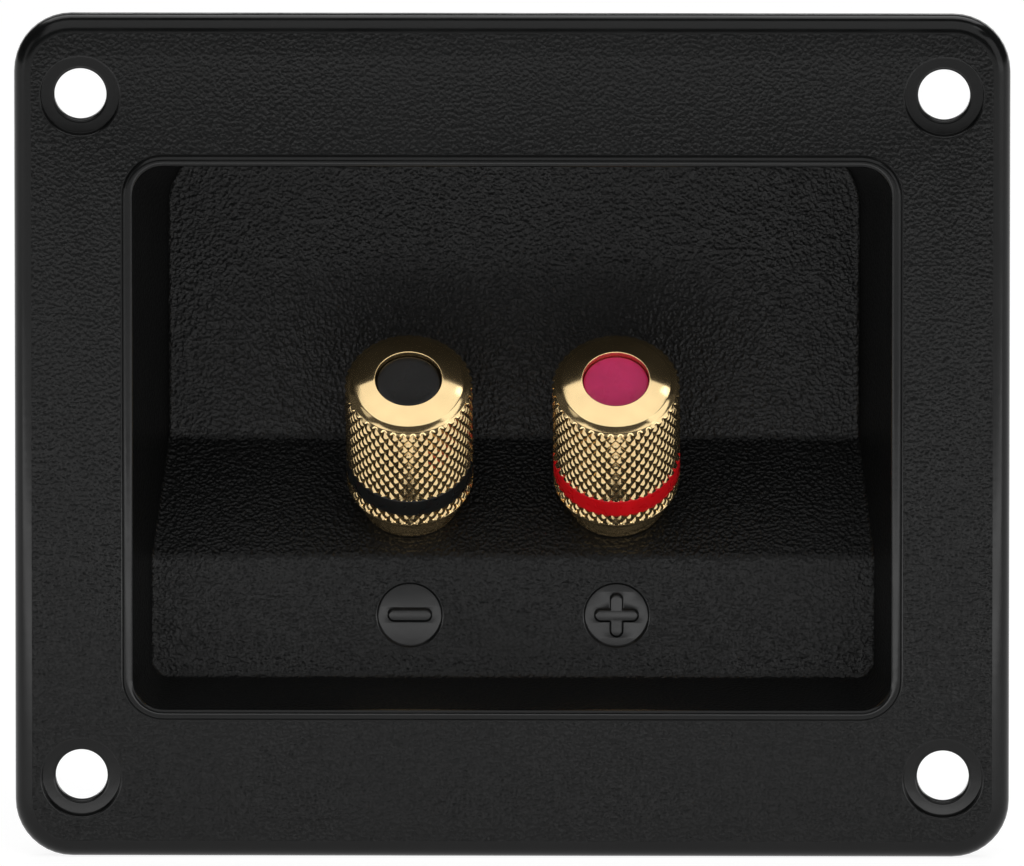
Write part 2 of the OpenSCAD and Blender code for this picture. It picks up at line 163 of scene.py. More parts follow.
class TERMINAL_PG_stage(bpy.types.PropertyGroup):
    """Camera, floor and lights"""

    elevation: FloatProperty(name="Camera elevation", description="Degrees above level",
                             default=8.2, min=-90.0, max=90.0)
    azimuth: FloatProperty(name="Camera azimuth", description="Degrees round towards +X",
                           default=0.6, min=-180.0, max=180.0)
    distance: FloatProperty(name="Camera distance", description="Distance from the flange",
                            default=3.0, min=0.5, unit="LENGTH")
    view_width: FloatProperty(name="View width", description="Width in view at the flange",
                              default=0.0967, min=0.01, unit="LENGTH")
    overhead: FloatProperty(name="Overhead light", description="Power of the big softbox above, in W",
                            default=4.2, min=0.0)
    right: FloatProperty(name="Right light", description="Power of the right softbox, in W",
                         default=1.2, min=0.0)
    left: FloatProperty(name="Left light", description="Power of the left softbox, in W",
                        default=0.3, min=0.0)
    strip: FloatProperty(name="Strip light", description="Power of the strip on the paper, in W",
                         default=0.15, min=0.0)
    back: FloatProperty(name="Back light", description="Power of the softbox behind, in W",
                        default=3.0, min=0.0)
    ambient: FloatProperty(name="Ambient", description="Strength of the light all round",
                           default=0.05, min=0.0)
    paper: FloatProperty(name="Paper", description="Width and length of the paper floor",
                         default=8.0, min=0.5, unit="LENGTH")
    spark: FloatProperty(name="Spark light", description="Power of the small lamp up right, in W",
                         default=0.15, min=0.0)
    floor: tone("Floor", "Colour of the floor", (0.90, 0.90, 0.90))


# ---- Mesh tools ----

def corner(a, c, b, steps=FILLET_STEPS):
    """Points of a rounded corner from a to b, turning at c."""
    a, c, b = Vector(a), Vector(c), Vector(b)
    return [a * (1 - t) ** 2 + c * 2 * t * (1 - t) + b * t * t
            for t in (i / steps for i in range(steps + 1))]


class Moulding:
    """Points and faces of one moulding, in millimetres. Depth runs back from the flange's front."""

    def __init__(self, front_y):
        self.front_y = front_y
        self.points = []
        self.faces = []

    def loop(self, points):
        """Adds a closed loop of (x, z, depth) points."""
        first = len(self.points)
        self.points += [(x, self.front_y + d, z) for x, z, d in points]
        return list(range(first, len(self.points)))

    def band(self, a, b, finish, smooth=True):
        n = len(a)
        for i in range(n):
            j = (i + 1) % n
            self.faces.append(([a[i], a[j], b[j], b[i]], finish, smooth))

    def loft(self, loops, finish):
        for a, b in zip(loops, loops[1:]):
            self.band(a, b, finish)
        return loops[-1]

    def fill(self, loops, finish):
        """A flat face inside the first loop, with the others as holes."""
        order = [i for loop in loops for i in loop]
        lines = [[Vector(self.points[i]) for i in loop] for loop in loops]
        for tri in tessellate_polygon(lines):
            self.faces.append(([order[i] for i in tri], finish, False))

    def ring(self, x, z, r, depth):
        return self.loop([(x + r * math.cos(a), z + r * math.sin(a), depth)
                          for a in (2 * math.pi * i / HOLE_FACETS for i in range(HOLE_FACETS))])

    def build(self, name, finishes):
        mesh = bpy.data.meshes.new(name)
        mesh.from_pydata([Vector(p) * MM for p in self.points], [], [f[0] for f in self.faces])
        for material in finishes:
            mesh.materials.append(material)
        for polygon, (_, finish, smooth) in zip(mesh.polygons, self.faces):
            polygon.material_index = finish
            polygon.use_smooth = smooth
        work = bmesh.new()
        work.from_mesh(mesh)
        bmesh.ops.recalc_face_normals(work, faces=work.faces)
        work.to_mesh(mesh)
        work.free()
        mesh.set_sharp_from_angle(angle=math.radians(SHARP_CUP))
        return add(name, mesh)


def add(name, mesh):
    piece = bpy.data.objects.new(name, mesh)
    bpy.context.scene.collection.objects.link(piece)
    return piece


def outline(half_w, low, high, low_r, high_r, rows=()):
    """A rectangle with rounded corners as (x, z, nx, nz), with extra points at the heights of
    rows on its sides."""
    points = []
    for side, z, r, start in ((1, low + low_r, low_r, -90), (1, high - high_r, high_r, 0),
                              (-1, high - high_r, high_r, 90), (-1, low + low_r, low_r, 180)):
        x = side * (half_w - r)
        for i in range(CORNER_STEPS + 1):
            a = math.radians(start + 90 * i / CORNER_STEPS)
            points.append((x + r * math.cos(a), z + r * math.sin(a), math.cos(a), math.sin(a)))
        if start == -90:
            points += [(half_w, z_row, 1, 0) for z_row in rows]
        if start == 90:
            points += [(-half_w, z_row, -1, 0) for z_row in reversed(rows)]
    return points


# ---- Materials ----

def material(name, base, metallic=0.0, roughness=0.4):
    """A new material with its Principled shader, and the tools to add nodes to it."""
    made = bpy.data.materials.new(name)
    made.use_nodes = True
    shader = made.node_tree.nodes["Principled BSDF"]
    shader.inputs["Base Color"].default_value = (*base, 1)
    shader.inputs["Metallic"].default_value = metallic
    shader.inputs["Roughness"].default_value = roughness
    return made, shader


def put(made, kind, **values):
    """Adds a node, with values for its named inputs and settings."""
    node = made.node_tree.nodes.new(kind)
    for key, value in values.items():
        if hasattr(node, key):
            setattr(node, key, value)
        else:
            node.inputs[key.replace("_", " ")].default_value = value
    return node


def wire(made, source, target):
    made.node_tree.links.new(source, target)


def place(made):
    """The piece's own coordinates."""
    return put(made, "ShaderNodeTexCoord").outputs["Object"]


def place_on_post(made):
    """Coordinates along the nearer post, Z up its axis, which both posts share by mirroring."""
    posts = bpy.context.scene.terminal_posts
    split = put(made, "ShaderNodeSeparateXYZ")
    wire(made, place(made), split.inputs["Vector"])
    fold = put(made, "ShaderNodeMath", operation="ABSOLUTE")
    wire(made, split.outputs["X"], fold.inputs[0])
    join = put(made, "ShaderNodeCombineXYZ")
    wire(made, fold.outputs[0], join.inputs["X"])
    wire(made, split.outputs["Y"], join.inputs["Y"])
    wire(made, split.outputs["Z"], join.inputs["Z"])
    upright = put(made, "ShaderNodeMapping", vector_type="TEXTURE")
    upright.inputs["Location"].default_value = at_post(1, posts).to_translation()
    upright.inputs["Rotation"].default_value = (math.radians(posts.lean), 0, 0)
    wire(made, join.outputs["Vector"], upright.inputs["Vector"])
    return upright.outputs["Vector"]


def noise(made, where, scale, detail=1.5):
    node = put(made, "ShaderNodeTexNoise", Scale=scale, Detail=detail)
    wire(made, where, node.inputs["Vector"])
    return node.outputs["Fac"]


def spread(made, value, low, high):
    """Maps a texture's middle range to low..high."""
    node = put(made, "ShaderNodeMapRange", From_Min=0.3, From_Max=0.7, To_Min=low, To_Max=high)
    wire(made, value, node.inputs["Value"])
    return node.outputs["Result"]


def mottle(made, shader, value, base, shift):
    """Varies a base colour a little, darker to lighter, with a texture."""
    ramp = put(made, "ShaderNodeValToRGB")
    ramp.color_ramp.elements[0].position = 0.3
    ramp.color_ramp.elements[1].position = 0.7
    for element, k in zip(ramp.color_ramp.elements, (1 - shift, 1 + shift)):
        element.color = (*[min(1.0, c * k) for c in base], 1)
    wire(made, value, ramp.inputs["Fac"])
    wire(made, ramp.outputs["Color"], shader.inputs["Base Color"])


def bump(made, shader, height, strength, distance, under=None):
    node = put(made, "ShaderNodeBump", Strength=strength, Distance=distance)
    wire(made, height, node.inputs["Height"])
    if under:
        wire(made, under.outputs["Normal"], node.inputs["Normal"])
    wire(made, node.outputs["Normal"], shader.inputs["Normal"])
    return node


def grained_plastic(base):
    """Moulded plastic with the pebbled grain of an etched tool."""
    made, shader = material("cup_grain", base)
    shader.inputs["Specular IOR Level"].default_value = 0.17
    where = place(made)
    pebbles = put(made, "ShaderNodeTexVoronoi", Scale=2500.0)
    wire(made, where, pebbles.inputs["Vector"])
    under = bump(made, shader, pebbles.outputs["Distance"], 1.0, 0.00009)
    bump(made, shader, noise(made, where, 3600.0, 1.0), 1.0, 0.00009, under)
    cloud = noise(made, where, 60.0, 1.0)
    mottle(made, shader, cloud, base, 0.12)
    wire(made, spread(made, cloud, 0.30, 0.38), shader.inputs["Roughness"])
    return made


def glossy_plastic(base):
    """The same plastic where the tool is polished."""
    made, shader = material("cup_gloss", base)
    shader.inputs["Specular IOR Level"].default_value = 0.22
    where = place(made)
    cloud = noise(made, where, 160.0, 1.0)
    mottle(made, shader, cloud, base, 0.1)
    wire(made, spread(made, cloud, 0.16, 0.24), shader.inputs["Roughness"])
    bump(made, shader, noise(made, where, 900.0, 1.0), 0.5, 0.00002)
    return made


def turned_metal(name, base, rough_low, rough_high, lines):
    """Plated metal with the fine rings that turning leaves, and a little variation in polish."""
    made, shader = material(name, base, metallic=0.97)
    where = place_on_post(made)
    split = put(made, "ShaderNodeSeparateXYZ")
    wire(made, where, split.inputs["Vector"])
    flat = put(made, "ShaderNodeCombineXYZ")
    for axis in "XY":
        wire(made, split.outputs[axis], flat.inputs[axis])
    radius = put(made, "ShaderNodeVectorMath", operation="LENGTH")
    wire(made, flat.outputs["Vector"], radius.inputs[0])
    across = put(made, "ShaderNodeCombineXYZ")
    wire(made, radius.outputs["Value"], across.inputs["X"])
    wire(made, split.outputs["Z"], across.inputs["Y"])
    bump(made, shader, noise(made, across.outputs["Vector"], lines), 0.25, 0.000008)
    cloud = noise(made, where, 400.0)
    mottle(made, shader, cloud, base, 0.06)
    wire(made, spread(made, cloud, rough_low, rough_high), shader.inputs["Roughness"])
    return made


def moulded_tint(name, base, roughness, gloss):
    """Small coloured plastic parts."""
    made, shader = material(name, base)
    shader.inputs["Specular IOR Level"].default_value = gloss
    shader.inputs["Subsurface Weight"].default_value = 0.15
    shader.inputs["Subsurface Scale"].default_value = 0.0008
    where = place_on_post(made)
    mottle(made, shader, noise(made, where, 500.0), base, 0.08)
    wire(made, spread(made, noise(made, where, 800.0), roughness * 0.8, roughness * 1.2),
         shader.inputs["Roughness"])
    bump(made, shader, noise(made, where, 2500.0), 0.08, 0.00001)
    return made


# ---- Riding on the frame ----

def body_holding(node):
    return next(body for body, nodes in BODIES.items() if node in nodes)


def stand_for(piece, node):
    """The piece replaces a CAD node, and moves with that node's body."""
    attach(piece, body_holding(node))
    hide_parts(node)


def refinish(node, made):
    """A CAD node keeps its shape and gets a better material."""
    mesh = frame["nodes"][node].data
    mesh.materials.clear()
    mesh.materials.append(made)
    for polygon in mesh.polygons:
        polygon.material_index = 0


# ---- Terminal cup ----

class Recess:
    """The drafted recess, or with growth the outside of its wall."""

    def __init__(self, cup, grow):
        self.cup, self.grow = cup, grow
        self.tan = math.tan(math.radians(cup.draft))
        self.bend = grow * math.tan(math.radians(22.5))
        self.panel_d = cup.depth - cup.shelf_rise + grow
        self.back_d = cup.depth + grow
        ridge = cup.ridge_z - self.bend
        junction = ridge + cup.shelf_rise
        ease = 0.45 + 0.25 * grow
        slope = ease * math.sqrt(0.5)
        self.profile = (
            corner((ridge - ease, self.panel_d), (ridge, self.panel_d),
                   (ridge + slope, self.panel_d + slope))
            + corner((junction - slope, self.back_d - slope), (junction, self.back_d),
                     (junction + ease, self.back_d)))
        self.rows = [p[0] for p in self.profile]

    def section(self, depth):
        """The recess's outline at one depth."""
        cup = self.cup
        step = depth * self.tan - self.grow
        top_step = depth * math.tan(math.radians(cup.top_draft)) - self.grow
        low_r, high_r = (cup.mouth_r + (end - cup.mouth_r) * depth / cup.depth + self.grow
                         for end in (cup.foot_r, cup.back_r))
        return outline(cup.mouth_w / 2 - step, step - cup.mouth_h / 2,
                       cup.mouth_h / 2 - top_step, low_r, high_r, self.rows)

    def floor_depths(self):
        """The floor's depth under each point of the outline."""
        arc = CORNER_STEPS + 1
        up = [p[1] for p in self.profile]
        return ([self.panel_d] * arc + up + [self.back_d] * (2 * arc)
                + up[::-1] + [self.panel_d] * arc)

    def walls(self, moulding, start_depth, fillet):
        """Loops down the wall and round the fillet at its foot."""
        floor = self.floor_depths()
        loops = []
        for i in range(1, WALL_STEPS + 1):
            points = []
            for k, end in enumerate(floor):
                d = start_depth + (end - fillet - start_depth) * i / WALL_STEPS
                x, z, _, _ = self.section(d)[k]
                points.append((x, z, d))
            loops.append(moulding.loop(points))
        foot = []
        for k, end in enumerate(floor):
            x0, z0, nx, nz = self.section(end - fillet)[k]
            x1, z1, _, _ = self.section(end)[k]
            foot.append(corner((x0, z0, end - fillet), (x1, z1, end),
                               (x1 - nx * fillet, z1 - nz * fillet, end)))
        loops += [moulding.loop([f[i] for f in foot]) for i in range(1, FILLET_STEPS + 1)]
        return loops

    def parts(self, loop):
        """Splits a loop into its lower corners, its side rows and its upper corners."""
        arc, n = CORNER_STEPS + 1, len(self.rows)
        right = loop[arc:arc + n]
        upper = loop[arc + n:3 * arc + n]
        left = loop[3 * arc + n:3 * arc + 2 * n][::-1]
        lower = loop[3 * arc + 2 * n:] + loop[:arc]
        return lower, left, right, upper

    def floor(self, moulding, loop, finish, holes=()):
        """The lower panel, the bends, the shelf and the back wall."""
        lower, left, right, upper = self.parts(loop)
        moulding.fill([lower + [right[0]] + [left[0]], *holes], finish)
        for i in range(len(right) - 1):
            flat = i == FILLET_STEPS
            moulding.faces.append(([left[i], right[i], right[i + 1], left[i + 1]],
                                   finish, not flat))
        moulding.fill([[right[-1]] + upper + [left[-1]]], finish)


def sign_outline(cup, x, side, shrink, depth):
    """The outline of a minus or a plus, shrunk all round."""
    half_w = cup.sign_w / 2 - shrink
    reach = (cup.sign_l - cup.sign_w) / 2
    arms = [0, 90, 180, 270] if side > 0 else [0, 180]
    points = []
    for turn in arms:
        t = math.radians(turn)
        shape = [(reach + half_w * math.cos(a), half_w * math.sin(a))
                 for a in (math.radians(-90 + 180 * i / 12) for i in range(13))]
        if side > 0:
            ease = 0.12 + shrink
            inner = [Vector((half_w + ease, half_w)), Vector((half_w, half_w)),
                     Vector((half_w, half_w + ease))]
            shape += [tuple(p) for p in corner(*inner, steps=3)]
        points += [(x + px * math.cos(t) - pz * math.sin(t),
                    cup.sign_z + px * math.sin(t) + pz * math.cos(t), depth)
                   for px, pz in shape]
    return points


def sunk_sign(moulding, cup, side, pitch, face):
    """A round sunk field with its sign standing in it. Returns the field's outer loop."""
    x = side * pitch / 2
    r = cup.sign_d / 2
    bottom = face + cup.sign_depth
    wall = [moulding.ring(x, cup.sign_z, p[0], p[1])
            for p in corner((r + 0.12, face), (r, face), (r - 0.02, face + 0.12), 3)
            + corner((r - 0.03, bottom - 0.12), (r - 0.04, bottom), (r - 0.18, bottom), 3)]
    moulding.loft(wall, GLOSS)
    rise = (corner((-0.14, bottom), (-0.04, bottom), (-0.03, bottom - 0.1), 3)
            + corner((0.0, face + 0.14), (0.02, face), (0.16, face), 4))
    sign = [moulding.loop(sign_outline(cup, x, side, p[0], p[1])) for p in rise]
    moulding.fill([wall[-1], sign[0]], GLOSS)
    moulding.fill([moulding.loft(sign, GLOSS)], GLOSS)
    return wall[0]


BACK_EDGE_R, BACK_EDGE_CUT = 0.25, 0.28  # easing of the flange's back edge, and its middle
SHELL_FILLET = 0.5
HOLE_EASE = 0.3    # rounding of a screw hole's front edge
# The web: half its thickness, its drop below the ridge, its height at the back, how deep it
# starts in the panel, and how far it stays short of the shell's back
WEB_HALF, WEB_DROP, WEB_TOP, WEB_SINK, WEB_SHORT = 0.8, 7, 5, 0.5, 0.6
# Section of the bead: share of its width out from the mouth, share of its height
BEAD = ((1.12, 0), (1.04, 0.03), (1.0, 0.2), (0.93, 0.55), (0.8, 0.83), (0.62, 0.98),
        (0.45, 1.0), (0.28, 0.93), (0.13, 0.72), (0.03, 0.4), (0, 0))


class TERMINAL_OT_cup(bpy.types.Operator):
    """Builds the moulded cup: flange, screw holes, beaded mouth, recess, signs and rear shell"""

    bl_idname = "terminal.cup"
    bl_label = "Terminal cup"

    def execute(self, context):
        cup = context.scene.terminal_cup
        pitch = context.scene.terminal_posts.pitch
        moulding = Moulding(-cup.flange_t)
        inside, outside = Recess(cup, 0.0), Recess(cup, cup.wall)

        def edge(inset, depth):
            return moulding.loop([(x, z, depth) for x, z, _, _ in outline(
                cup.flange_w / 2 - inset, inset - cup.flange_h / 2, cup.flange_h / 2 - inset,
                cup.corner_r - inset, cup.corner_r - inset)])

        # Flange: back edge, side and rolled front edge
        roll = [(cup.roll_r * (1 - math.sin(a)), cup.roll_r * (1 - math.cos(a)))
                for a in (math.radians(90 - 90 * i / ROLL_STEPS) for i in range(ROLL_STEPS + 1))]
        cut = BACK_EDGE_R * BACK_EDGE_CUT
        rim = [edge(BACK_EDGE_R, cup.flange_t), edge(cut, cup.flange_t - cut),
               edge(0, cup.flange_t - BACK_EDGE_R)] + [edge(*p) for p in roll]
        moulding.loft(rim, GLOSS)

        # Bead and the recess behind it
        bead = [moulding.loop([
            (x, z, -height * cup.bead_h)
            for x, z, _, _ in self.mouth(cup, share * cup.bead_w, inside.rows)])
            for share, height in BEAD]
        walls = inside.walls(moulding, 0.0, cup.fillet)
        moulding.loft(bead, GLOSS)
        moulding.loft([bead[-1]] + walls, GRAIN)
        signs = [sunk_sign(moulding, cup, side, pitch, inside.panel_d) for side in (-1, 1)]
        inside.floor(moulding, walls[-1], GRAIN, signs)

        # Rear shell
        start = moulding.loop([(x, z, cup.flange_t) for x, z, _, _ in outside.section(cup.flange_t)])
        shell = outside.walls(moulding, cup.flange_t, SHELL_FILLET)
        moulding.loft([start] + shell, GLOSS)
        outside.floor(moulding, shell[-1], GRAIN)

        self.web(moulding, cup, outside)

        # Screw holes through the flange
        front_holes, back_holes = [], []
        for sx in (-1, 1):
            for sz in (-1, 1):
                x, z = sx * cup.screw_dx / 2, sz * cup.screw_dz / 2
                head, hole = cup.head_d / 2, cup.screw_d / 2
                profile = (
                    corner((head + 0.14, 0), (head, 0), (head, 0.14), 4)
                    + corner((head - 0.03, cup.head_depth - 0.1), (head - 0.03, cup.head_depth),
                             (head - 0.13, cup.head_depth), 3)
                    + corner((hole + HOLE_EASE, cup.head_depth), (hole, cup.head_depth),
                             (hole, cup.head_depth + HOLE_EASE), 5)
                    + [Vector((hole, cup.flange_t - 0.1)), Vector((hole + 0.1, cup.flange_t))])
                rings = [moulding.ring(x, z, p[0], p[1]) for p in profile]
                moulding.loft(rings, GLOSS)
                front_holes.append(rings[0])
                back_holes.append(rings[-1])
        moulding.fill([rim[-1], bead[0], *front_holes], GRAIN)
        moulding.fill([rim[0], start, *back_holes], GRAIN)

        finishes = [grained_plastic(cup.colour), glossy_plastic(cup.colour)]
        piece = moulding.build("terminal_cup_dressed", finishes)
        stand_for(piece, "terminal_cup")
        return {"FINISHED"}

    @staticmethod
    def web(moulding, cup, outside):
        """The upright web between the posts, behind the shelf."""
        ridge = cup.ridge_z - outside.bend
        foot, head = outside.panel_d - WEB_SINK, cup.depth + cup.wall - WEB_SHORT
        side = [(ridge - WEB_DROP, foot), (ridge, foot),
                (ridge + cup.shelf_rise, head), (ridge + cup.shelf_rise - WEB_TOP, head)]
        ends = [moulding.loop([(x, z, d) for z, d in side]) for x in (-WEB_HALF, WEB_HALF)]
        moulding.band(*ends, GLOSS, smooth=False)
        for end in ends:
            moulding.fill([end], GLOSS)

    @staticmethod
    def mouth(cup, grow, rows):
        r = cup.mouth_r + grow
        return outline(cup.mouth_w / 2 + grow, -cup.mouth_h / 2 - grow,
                       cup.mouth_h / 2 + grow, r, r, rows)


# ---- Binding posts, each built upright with Z = 0 on the shelf ----

def at_post(side, posts):
    """The placement of one post."""
    spot = Vector((side * posts.pitch / 2, posts.foot_y, posts.foot_z)) * MM
    return Matrix.Translation(spot) @ Matrix.Rotation(math.radians(posts.lean), 4, "X")


def turned(name, side, posts, rows, columns, made, sharp):
    """A turned piece. Each row is (radius, height, relief): relief(turn, height) gives the
    radius at a share of a turn, and is None on a plain ring. A piece whose first row has a
    radius is a closed ring. One that starts and ends on the axis is solid."""
    points, faces = [], []
    for r, z, relief in rows:
        for j in range(columns):
            a = 2 * math.pi * j / columns
            here = relief(j / columns, z) if relief else r
            points.append((here * math.cos(a), here * math.sin(a), z))
    reach = [math.hypot(p[0], p[1]) for p in points]
    hollow = rows[0][0] > 0
    for i in range(len(rows) if hollow else len(rows) - 1):
        up = (i + 1) % len(rows)
        cut = rows[i][2] and rows[up][2]
        for j in range(columns):
            k = (j + 1) % columns
            a, b, c, d = i * columns + j, i * columns + k, up * columns + k, up * columns + j
            if not cut:
                faces.append((a, b, c, d))
            elif reach[a] + reach[c] <= reach[b] + reach[d]:
                faces += [(a, b, c), (a, c, d)]
            else:
                faces += [(a, b, d), (b, c, d)]
    mesh = bpy.data.meshes.new(name)
    mesh.from_pydata([Vector(p) * MM for p in points], [], faces)
    tidy(mesh)
    mesh.shade_smooth()
    mesh.set_sharp_from_angle(angle=math.radians(sharp))
    mesh.materials.append(made)
    mesh.transform(at_post(side, posts))
    return add(name, mesh)


def tidy(mesh):
    """Merges the points on the axis and turns every face outward."""
    work = bmesh.new()
    work.from_mesh(mesh)
    bmesh.ops.remove_doubles(work, verts=work.verts, dist=1e-8)
    bmesh.ops.recalc_face_normals(work, faces=work.faces)
    work.to_mesh(mesh)
    work.free()


def plain(*points):
    return [(p[0], p[1], None) for p in points]


def bored(piece, at, radius, height):
    """Bores a cross hole through a post's piece."""
    bpy.ops.mesh.primitive_cylinder_add(vertices=48, radius=radius * MM, depth=20 * MM)
    drill = bpy.context.object
    drill.matrix_world = (at @ Matrix.Translation((0, 0, height * MM))
                          @ Matrix.Rotation(math.radians(90), 4, "Y"))
    cut = piece.modifiers.new("wire_hole", "BOOLEAN")
    cut.operation, cut.solver, cut.object = "DIFFERENCE", "EXACT", drill
    bpy.context.view_layer.update()
    seen = piece.evaluated_get(bpy.context.evaluated_depsgraph_get())
    piece.data = bpy.data.meshes.new_from_object(seen)
    piece.modifiers.clear()
    bpy.data.objects.remove(drill)


def diamond_knurl(posts, low, pitch, limit):
    """Two crossed sets of grooves that leave diamonds with small flat tops."""
    def groove(x):
        return 1 - abs(2 * (x % 1) - 1)

    def relief(turn, z):
        round_, along = turn * posts.diamonds + 0.5, (z - low) / pitch
        top = min(1.0, KNURL_CREST * min(groove(round_ + along), groove(round_ - along)))
        return min(posts.knob_r - posts.knurl_depth * (1 - top), limit(z))

    return relief


def thread(radius, pitch, depth):
    """A screw thread's radius at a share of a turn and a height."""
    def relief(turn, z):
        wave = abs(2 * ((z / pitch - turn) % 1) - 1)
        return radius - depth * min(1.0, max(0.0, 1.3 * wave - 0.15))

    return relief


def heights(low, high, count):
    return [low + (high - low) * i / count for i in range(count + 1)]


KNURL_STEPS = 12    # points along each side of a diamond's cell
MAIN_ROWS = 6       # rows of diamonds in the main band
KNURL_CREST = 1.75  # how far a diamond would rise past the flat of its top
KNURL_RUNOUT = 1.25  # slope at which the main band runs out under the crown
SHARP_KNOB, SHARP_TURNED = 50, 30  # degrees beyond which an edge stays sharp
WIRE_HOLE_R, WIRE_HOLE_UP = 1.4, 1.5  # radius, and height over the collar
FOOT_Z, FOOT_BAND, RING_LOW, RING_HIGH = 3.0, (3.62, 4.93), 4.98, 7.26
MAIN_BAND, LIP_Z, LIP_R, CROWN_Z = (7.31, 17.45), 17.69, 5.72, 18.65
GROOVE_R, BORE_R, CROWN_HOLE_R, CROWN_EDGE_R, CROWN_DOME_R = 4.95, 4.0, 3.15, 5.22, 15.0
BORE_TOP = 16.6
STUD_TOP, STUD_END, COLLAR_R, COLLAR_H, CLAMP_THREAD_R = 16.2, -14.5, 4.8, 2.9, 3.95
SOCKET_R, SOCKET_FLOOR, REAR_THREAD_R = 2.0, 6.6, 2.5
PLUG_SINK, PLUG_HEAD_R, PLUG_PIN_L, PLUG_DISH = 0.55, 3.1, 8, 0.08
REAR_PITCH, REAR_CUT, CLAMP_PITCH, CLAMP_CUT = 0.8, 0.38, 1.0, 0.48
TOOL_LINES = 9000.0  # fineness of the turning lines on the gold


def crown_height(r):
    """Height of the domed crown at a radius."""
    return CROWN_Z + math.sqrt(CROWN_DOME_R ** 2 - r * r) \
        - math.sqrt(CROWN_DOME_R ** 2 - CROWN_HOLE_R ** 2)


def knob_rows(posts):
    """Half section of the clamp knob, up the outside, over the crown and down the bore."""
    foot_pitch = FOOT_BAND[1] - FOOT_BAND[0]
    main_pitch = (MAIN_BAND[1] - MAIN_BAND[0]) / MAIN_ROWS
    foot = diamond_knurl(posts, FOOT_BAND[0], foot_pitch, lambda z: posts.knob_r)
    main = diamond_knurl(posts, MAIN_BAND[0], main_pitch,
                         lambda z: posts.knob_r - max(0.0, z - MAIN_BAND[1]) * KNURL_RUNOUT)
    foot_r = posts.knob_r - 0.04
    rows = plain((BORE_R + 0.2, FOOT_Z), (5.45, FOOT_Z),
                 *corner((foot_r - 0.35, FOOT_Z), (foot_r, FOOT_Z), (foot_r, FOOT_Z + 0.35)),
                 (foot_r, 3.52), (foot_r - 0.08, 3.58))
    rows += [(1, z, foot) for z in heights(*FOOT_BAND, KNURL_STEPS)]
    rows += plain((GROOVE_R, FOOT_BAND[1]), (GROOVE_R, MAIN_BAND[0]))
    rows += [(1, z, main) for z in heights(*MAIN_BAND, MAIN_ROWS * KNURL_STEPS)]
    rows += [(1, z, main) for z in heights(MAIN_BAND[1], LIP_Z, 3)[1:]]
    edge = crown_height(CROWN_EDGE_R)
    rows += plain((LIP_R, LIP_Z + 0.01),
                  *corner((CROWN_EDGE_R + 0.06, edge - 0.045), (CROWN_EDGE_R, edge),
                          (CROWN_EDGE_R - 0.08, crown_height(CROWN_EDGE_R - 0.08)), 4))
    rows += plain(*[(r, crown_height(r)) for r in heights(4.9, 3.35, 8)])
    rows += plain(*corner((CROWN_HOLE_R + 0.07, crown_height(CROWN_HOLE_R + 0.07)),
                          (CROWN_HOLE_R, CROWN_Z), (CROWN_HOLE_R, CROWN_Z - 0.1), 4))
    return rows + plain((CROWN_HOLE_R, BORE_TOP), (BORE_R, BORE_TOP), (BORE_R, FOOT_Z + 0.2))


def ring_rows(posts):
    inner, outer, ease = GROOVE_R + 0.05, posts.knob_r - 0.03, 0.16
    return plain((inner, RING_LOW), *corner((outer - ease, RING_LOW), (outer, RING_LOW),
                                            (outer, RING_LOW + ease)),
                 *corner((outer, RING_HIGH - ease), (outer, RING_HIGH),
                         (outer - ease, RING_HIGH)), (inner, RING_HIGH))


def plug_rows():
    head_low, face, head_r, pin_r = STUD_TOP + 0.05, CROWN_Z - PLUG_SINK, PLUG_HEAD_R, SOCKET_R - 0.05
    pin_end = head_low - PLUG_PIN_L
    return plain((0, pin_end), *corner((pin_r - 0.3, pin_end), (pin_r, pin_end),
                                       (pin_r, pin_end + 0.3)),
                 (pin_r, head_low), (head_r, head_low),
                 *corner((head_r, face - 0.3), (head_r, face), (head_r - 0.3, face)),
                 (head_r - 0.7, face - 0.02), (1.6, face - 0.05), (0.8, face - 0.07),
                 (0, face - PLUG_DISH))


def stud_rows():
    rear = thread(REAR_THREAD_R, REAR_PITCH, REAR_CUT)
    clamp = thread(CLAMP_THREAD_R, CLAMP_PITCH, CLAMP_CUT)
    rows = plain((0, STUD_END), (2.0, STUD_END), (2.12, STUD_END + 0.4))
    rows += [(1, z, rear) for z in heights(STUD_END + 0.5, -2.7, 120)]
    rows += plain((2.6, -2.5), (2.6, 0.0), (COLLAR_R - 0.15, 0.0), (COLLAR_R, 0.12))
    rows += plain(*corner((COLLAR_R, COLLAR_H - 0.3), (COLLAR_R, COLLAR_H),
                          (COLLAR_R - 0.3, COLLAR_H)), (3.4, COLLAR_H))
    rows += [(1, z, clamp) for z in heights(COLLAR_H + 0.1, STUD_TOP - 0.6, 104)]
    return rows + plain((3.4, STUD_TOP - 0.4), (3.2, STUD_TOP), (SOCKET_R + 0.2, STUD_TOP),
                        (SOCKET_R, STUD_TOP - 0.2), (SOCKET_R, SOCKET_FLOOR), (0, SOCKET_FLOOR))


def each_post(posts, part, rows, columns, made, sharp=SHARP_TURNED):
    """Makes one kind of piece at both posts, or at one if its material differs."""
    for word, side in SIDES.items():
        here = made[word] if isinstance(made, dict) else made
        piece = turned(f"{word}_{part}_dressed", side, posts, rows, columns, here, sharp)
        if part == "stud":
            bored(piece, at_post(side, posts), WIRE_HOLE_R, COLLAR_H + WIRE_HOLE_UP)
        stand_for(piece, f"{word}_{part}")


class TERMINAL_OT_studs(bpy.types.Operator):
    """Builds the two threaded studs with their collars, sockets and wire holes"""

    bl_idname = "terminal.studs"
    bl_label = "Studs"

    def execute(self, context):
        posts = context.scene.terminal_posts
        each_post(posts, "stud", stud_rows(), 96,
                  turned_metal("stud_gold", posts.gold, 0.14, 0.22, TOOL_LINES))
        return {"FINISHED"}


